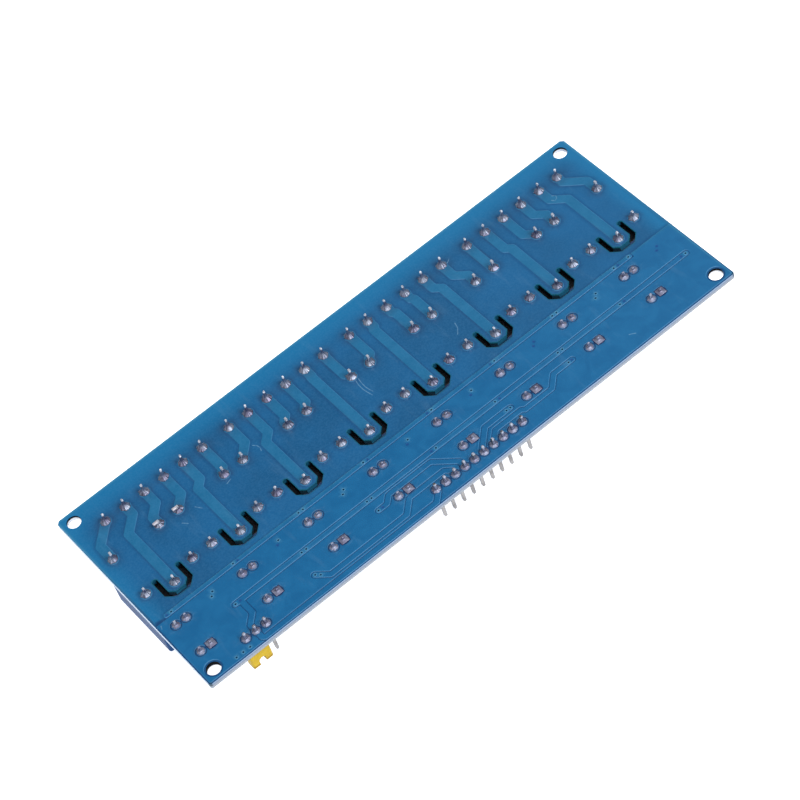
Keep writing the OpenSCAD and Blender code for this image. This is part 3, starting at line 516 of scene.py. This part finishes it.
TAIL = metal("flattened_lead", srgb(216, 213, 219), srgb(186, 180, 190), 0.36, 1500, 0.2, metallic=0.4)
PIN = metal("header_pin", srgb(147, 145, 144), srgb(119, 117, 117), 0.34, 1700, 0.12)
TIN = metal("tinned_lead", srgb(198, 202, 212), srgb(172, 176, 188), 0.32, 1700, 0.15, metallic=0.4)
NICKEL = metal("plated_steel", srgb(205, 203, 196), srgb(176, 174, 168), 0.3, 900, 0.1)
CLIP = metal("clip_brass", srgb(214, 188, 130), srgb(180, 150, 96), 0.3, 900, 0.1)
def relay_material():
    m = Mat("relay_blue")
    co = m.obj()
    n1, n2 = m.noise(1600, 3, 0.6, co), m.noise(120, 3, 0.5, co)
    zz = m.n("SeparateXYZ", {0: co}, out=2)
    body = m.mix(m.smooth(n2, 0.3, 0.7), srgb(21, 66, 115), srgb(29, 79, 131))
    seal = m.mix(m.smooth(n1, 0.35, 0.65), srgb(20, 22, 26), srgb(38, 38, 42))
    base = m.smooth(zz, (ZC - 0.66) * MM, (ZC - 0.61) * MM)
    m.set(Base_Color=m.mix(base, body, seal), Roughness=m.add(0.38, m.mul(n1, 0.12)), Normal=m.bump(n1, 0.10, 0.00003))
    m.b.inputs["Specular IOR Level"].default_value = 0.1
    return m.m
RELAY = relay_material()
TERMP = plastic("terminal_blue", srgb(16, 112, 188), 0.38, 1600, 0.08, 0.12, 0.1)
BLACK = plastic("black_plastic", srgb(30, 30, 33), 0.45, 2600, 0.2, 0.2)
def jumper_material():
    m = Mat("jumper_yellow")
    co = m.obj()
    n1, n2 = m.noise(2400, 3, 0.6, co), m.noise(500, 3, 0.5, co)
    zz = m.n("SeparateXYZ", {0: co}, out=2)
    z_end = min(v[2] for v in NODES["jumper_cap"].bound_box)
    col = m.mix(m.smooth(n2, 0.3, 0.7), srgb(172, 142, 2), srgb(182, 152, 8))
    # painted shade of a moulding step: a dark band across the lobes
    col = m.mix(m.mul(m.smooth(zz, z_end + 0.0005, z_end + 0.0007), m.smooth(zz, z_end + 0.0011, z_end + 0.0009)), col, srgb(138, 106, 0))
    m.set(Base_Color=col, Roughness=m.add(0.42, m.mul(n1, 0.12)), Normal=m.bump(n1, 0.15, 0.00003))
    m.b.inputs["Specular IOR Level"].default_value = 0.2
    return m.m
YELLOW = jumper_material()
LEDM = plastic("led_resin", srgb(196, 92, 84), 0.25, 1800, 0.1, 0.05, 0.3)

skin = mesh_obj("masked_copper_face", np.vstack([top, bot]), faces, MASK, False, attrs)
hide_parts("power_tracks", "control_copper")
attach(skin, "root")

def give(mat, *names):
    for nm in names:
        o = NODES[nm]
        if not o.material_slots: o.data.materials.append(mat)
        for s in o.material_slots:
            s.link = "OBJECT"
            s.material = mat
give(EDGE, "circuit_board")
give(RELAY, *["relay_%d" % i for i in range(1, 9)])
give(TERMP, *["terminal_block_%d" % i for i in range(1, 9)])
give(BLACK, *["optocoupler_%d" % i for i in range(1, 9)], "input_header_body", "supply_header_body", "driver_transistors", "flyback_diodes", "chip_resistors")
give(TIN, "relay_contact_pins", "relay_coil_pins", "optocoupler_leads", "transistor_leads", "diode_tabs")
give(PIN, "input_header_pins", "supply_header_pins")
give(NICKEL, "terminal_clamps", "terminal_screws")
give(CLIP, "jumper_clip")
give(YELLOW, "jumper_cap")
give(LEDM, "indicator_leds")
give(SOLDER, "contact_solder", "coil_solder", "terminal_solder", "optocoupler_solder", "header_solder")

# ------------------------------------------------------------------ solder joints, each a fluted cone drawn up its lead
PROF = [(1.0, -0.035), (1.0, 0.03), (0.95, 0.09), (0.84, 0.17), (0.70, 0.28), (0.57, 0.42), (0.47, 0.58), (0.40, 0.78), (0.36, 1.0)]
def joint(vs, fs, cx, cy, R, neck, hf, tip, seed, lean=(0.0, 0.0), flute=0.07, sqr=False, seg=36):
    """neck: (x, y) half sizes of the coated lead; hf: cone height; tip: end of the coat above the solder face"""
    r_ = random.Random(seed)
    ph = [r_.uniform(0, 6.283) for _ in range(6)]
    amp = [r_.uniform(0.5, 1.0) for _ in range(6)]
    fr = [4, 6, 7, 9, 12, 2]
    z0 = ZS + (0.10 if sqr else 0.05)
    n0 = len(vs)
    rings = 0
    ofs = (r_.uniform(-0.05, 0.05), r_.uniform(-0.05, 0.05))
    def ring(rx, ry, z, fl, sx, sy, sq):
        nonlocal rings
        for j in range(seg):
            t = 2 * math.pi * (j + 0.5) / seg
            w = sum(amp[q] * math.sin(fr[q] * t + ph[q]) for q in range(5)) / 2.2
            wob = 1 + fl * w + 0.025 * math.sin(t * fr[5] + ph[5]) * (1 if fl else 0)
            ct, st_ = math.cos(t), math.sin(t)
            p = 2.0 / (2.0 + sq)
            x = math.copysign(abs(ct) ** p, ct) * rx * wob
            y = math.copysign(abs(st_) ** p, st_) * ry * wob
            vs.append((cx + x + sx, cy + y + sy, z))
        rings += 1
    for u, hz_ in PROF:
        k = min(1.0, max(0.0, (0.60 - u) / 0.24))
        rr = R * u
        nx, ny = neck[0] * 1.12, neck[1] * 1.12
        rx = rr * (1 - k) + nx * k
        ry = rr * (1 - k) + ny * k
        fl = flute * (1.0 if 0.4 < u < 0.97 else 0.3)
        s = max(0, hz_)
        sq = (14.0 if u > 0.9 else 9.0 if u > 0.66 else 3.0 if u > 0.5 else 0.0) if sqr else 0.0
        ring(rx, ry, z0 + hf * hz_, fl * (0.0 if sqr else 1.0), ofs[0] * s + lean[0] * s * 0.3, ofs[1] * s + lean[1] * s * 0.3, sq + 0.8 * k)
    L = max(tip - hf - 0.05, 0.12)
    for u, q in ((0.3, 1.1), (0.62, 1.0), (0.9, 0.95), (1.0, 0.7)):
        ring(neck[0] * q, neck[1] * q, z0 + hf + L * u, 0.02, ofs[0] + lean[0] * (0.3 + 0.7 * u), ofs[1] + lean[1] * (0.3 + 0.7 * u), 0.8)
    vs.append((cx + ofs[0] + lean[0], cy + ofs[1] + lean[1], z0 + hf + L + 0.04))
    for i in range(rings - 1):
        for j in range(seg):
            a_, b_ = n0 + i * seg + j, n0 + i * seg + (j + 1) % seg
            fs.append((a_, b_, b_ + seg, a_ + seg))
    last = n0 + (rings - 1) * seg
    for j in range(seg): fs.append((last + j, last + (j + 1) % seg, n0 + rings * seg))
    fs.append(tuple(n0 + j for j in range(seg - 1, -1, -1)))

def bent_tail(vs, fs, cx, cy, seed):
    """a lead bent flat towards -x, coated in solder"""
    r_ = random.Random(seed)
    n0 = len(vs)
    seg = 12
    path = [(-0.0, 0.62, 0.34, 0.30), (-0.25, 0.95, 0.36, 0.24), (-0.65, 0.99, 0.36, 0.22), (-1.05, 0.98, 0.35, 0.21), (-1.27, 0.97, 0.30, 0.16)]
    for dx, h, ry, rz in path:
        for j in range(seg):
            t = 2 * math.pi * j / seg
            ca, sa = math.cos(t), math.sin(t)
            vs.append((cx + dx, cy + math.copysign(abs(ca) ** 0.6, ca) * ry, ZS + h + math.copysign(abs(sa) ** 0.6, sa) * rz + r_.uniform(-0.01, 0.01)))
    for i in range(len(path) - 1):
        for j in range(seg):
            a_, b_ = n0 + i * seg + j, n0 + i * seg + (j + 1) % seg
            fs.append((a_, b_, b_ + seg, a_ + seg))
    fs.append(tuple(n0 + j for j in range(seg - 1, -1, -1)))
    fs.append(tuple(n0 + (len(path) - 1) * seg + j for j in range(seg)))

def joints(name, pts, node, R, neck, hf, tip, seed, flute=0.07, var=0.12, lean=0.1):
    vs, fs, tvs, tfs = [], [], [], []
    r_ = random.Random(seed)
    for i, p in enumerate(pts):
        low = p in bent
        h_, t_ = hf * r_.uniform(0.88, 1.1), tip * r_.uniform(1 - var, 1.0)
        ln = (r_.uniform(-lean, lean), r_.uniform(-lean, lean) * 0.6)
        if low: h_, t_, ln = 0.62, 1.0, (0.0, 0.0)
        if node == "optocoupler_solder":
            right = any(abs(p[0] - opto_x(k) - 1.27) < 0.01 for k in range(CH))
            if p[1] > OPTO_Y and p[0] < opto_x(0) + 2: right = not right
            h_, t_ = (0.24, 0.86) if right else (0.38, 1.55 * r_.uniform(0.99, 1.03))
        joint(vs, fs, p[0], p[1], R * r_.uniform(0.97, 1.03), neck, h_, t_, seed * 100 + i, ln, flute, p in square_pad)
        if low: bent_tail(tvs, tfs, p[0], p[1], i)
    if tvs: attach(mesh_obj("bent_leads", tvs, tfs, TAIL, True), "root")
    ob = mesh_obj(name, vs, fs, SOLDER_LOW if node in ("optocoupler_solder", "header_solder") else SOLDER_MID if node in ("contact_solder", "coil_solder") else SOLDER, True)
    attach(ob, "root")
    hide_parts(node)
    return ob
bent = [throw[1], throw[2]]
joints("terminal_joints", term, "terminal_solder", 1.16, (0.24, 0.24), 1.55, 2.8, 11, 0.17)
# terminal leads: round, drawn thinner where they leave the board
vs, fs = [], []
for x, y in term:
    n0 = len(vs)
    prof_ = [(0.30, ZC - 1.5), (0.30, ZS - 0.1), (0.20, ZS + 0.35), (0.20, ZS + 2.62), (0.15, ZS + 2.7)]
    for rr, z in prof_:
        for j in range(16): vs.append((x + rr * math.cos(math.pi * j / 8), y + rr * math.sin(math.pi * j / 8), z))
    for i in range(len(prof_) - 1):
        for j in range(16):
            a_, b_ = n0 + i * 16 + j, n0 + i * 16 + (j + 1) % 16
            fs.append((a_, b_, b_ + 16, a_ + 16))
    fs.append(tuple(n0 + j for j in range(15, -1, -1)))
    fs.append(tuple(n0 + (len(prof_) - 1) * 16 + j for j in range(16)))
leads_ = mesh_obj("terminal_leads", vs, fs, TIN, False)
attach(leads_, "root")
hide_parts("terminal_pins")
joints("contact_joints", throw + com, "contact_solder", 1.15, (0.25, 0.33), 1.35, 2.3, 12, 0.2)
joints("coil_joints", coil, "coil_solder", 1.15, (0.25, 0.28), 1.3, 2.08, 13, 0.2)
joints("optocoupler_joints", opto, "optocoupler_solder", 0.96, (0.29, 0.18), 0.4, 1.0, 14, 0.10, 0.0, 0.0)
# dark step of the mask round the square pads
vs, fs = [], []
for x, y in square_pad:
    n0 = len(vs)
    for h, z in ((0.90, ZS + 0.08), (1.10, ZS + 0.084), (1.10, ZS + 0.06), (0.90, ZS + 0.06)):
        for sx_, sy_ in ((-1, -1), (1, -1), (1, 1), (-1, 1)): vs.append((x + sx_ * h, y + sy_ * h, z))
    for q in range(4):
        for j in range(4):
            a_, b_ = n0 + q * 4 + j, n0 + q * 4 + (j + 1) % 4
            c_, d_ = n0 + ((q + 1) % 4) * 4 + (j + 1) % 4, n0 + ((q + 1) % 4) * 4 + j
            fs.append((d_, c_, b_, a_))
sqm = Mat("mask_step")
sqm.set(Base_Color=sqm.mix(sqm.smooth(sqm.noise(1500, 3), 0.3, 0.7), srgb(10, 32, 72), srgb(16, 46, 92)), Roughness=sqm.add(0.3, sqm.mul(sqm.noise(900, 2), 0.2)))
pads_ = mesh_obj("square_pad_steps", vs, fs, sqm.m)
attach(pads_, "root")
joints("header_joints", hdr + sup, "header_solder", 0.96, (0.34, 0.34), 0.5, 2.07, 15, 0.12, 0.06, 0.03)

# ------------------------------------------------------------------ floor, lights and camera
def stage_plane(name, size, z, mat):
    ob = mesh_obj(name, [(-size, -size, z), (size, -size, z), (size, size, z), (-size, size, z)], [(0, 1, 2, 3)], mat, unit=1.0)
    return ob
fm = Mat("pale_floor")
fm.set(Base_Color=fm.mix(fm.noise(9, 2), (0.80, 0.80, 0.81), (0.84, 0.84, 0.85)), Roughness=0.7)
fm.b.inputs["Emission Color"].default_value = (1, 1, 1, 1)
fm.b.inputs["Emission Strength"].default_value = 0.9
stage_plane("floor", 3.0, -0.0002, fm.m)

w = bpy.data.worlds.new("studio")
w.use_nodes = True
wt = w.node_tree
bg = wt.nodes["Background"]
# a broad soft dome light above the front of the table, dim towards the back and the horizon
tc = wt.nodes.new("ShaderNodeTexCoord")
dt = wt.nodes.new("ShaderNodeVectorMath")
dt.operation = "DOT_PRODUCT"
d0 = Vector((-0.10, -0.42, 0.90)).normalized()
dt.inputs[1].default_value = d0
wt.links.new(tc.outputs[0], dt.inputs[0])
mr = wt.nodes.new("ShaderNodeMapRange")
mr.interpolation_type = "SMOOTHSTEP"
for i, v in ((1, 0.45), (2, 0.92), (3, 0.20), (4, 1.5)): mr.inputs[i].default_value = v
wt.links.new(dt.outputs["Value"], mr.inputs[0])
# a low bright band just above the horizon, the far end of the paper sweep
sz = wt.nodes.new("ShaderNodeSeparateXYZ")
wt.links.new(tc.outputs[0], sz.inputs[0])
hr = wt.nodes.new("ShaderNodeMapRange")
hr.interpolation_type = "SMOOTHSTEP"
for i, v in ((1, 0.13), (2, 0.20), (3, 1.0), (4, 0.0)): hr.inputs[i].default_value = v
wt.links.new(sz.outputs[2], hr.inputs[0])
top_ = wt.nodes.new("ShaderNodeMath")
top_.operation = "MAXIMUM"
wt.links.new(mr.outputs[0], top_.inputs[0])
wt.links.new(hr.outputs[0], top_.inputs[1])
wt.links.new(top_.outputs[0], bg.inputs[1])
bg.inputs[0].default_value = (0.95, 0.97, 1.0, 1)
bpy.context.scene.world = w

def area(name, loc, target, size, power, col=(1, 1, 1)):
    l = bpy.data.lights.new(name, "AREA")
    l.shape = "RECTANGLE"
    l.size, l.size_y = size
    l.energy = power
    l.color = col
    o = bpy.data.objects.new(name, l)
    o.location = loc
    o.rotation_euler = (Vector(target) - Vector(loc)).to_track_quat("-Z", "Y").to_euler()
    bpy.context.scene.collection.objects.link(o)
    return o
area("key", (0.30, -0.55, 0.80), (0.03, 0, 0), (0.35, 0.35), 5.5)

cam = bpy.data.cameras.new("camera")
cam.lens = 138.784
cam.sensor_width = 36.0
cam.clip_start = 0.01
cam.clip_end = 20.0
co = bpy.data.objects.new("camera", cam)
Rm = Matrix(((0.768568, 0.593674, -0.238442), (-0.599489, 0.538139, -0.592469), (-0.223418, 0.598296, 0.769497)))
co.matrix_world = Matrix.Translation((-0.151562, -0.378740, 0.490398 + ZS * MM)) @ Rm.to_4x4()
bpy.context.scene.collection.objects.link(co)
bpy.context.scene.camera = co
bpy.context.scene.view_settings.view_transform = "Standard"
bpy.context.scene.view_settings.look = "None"
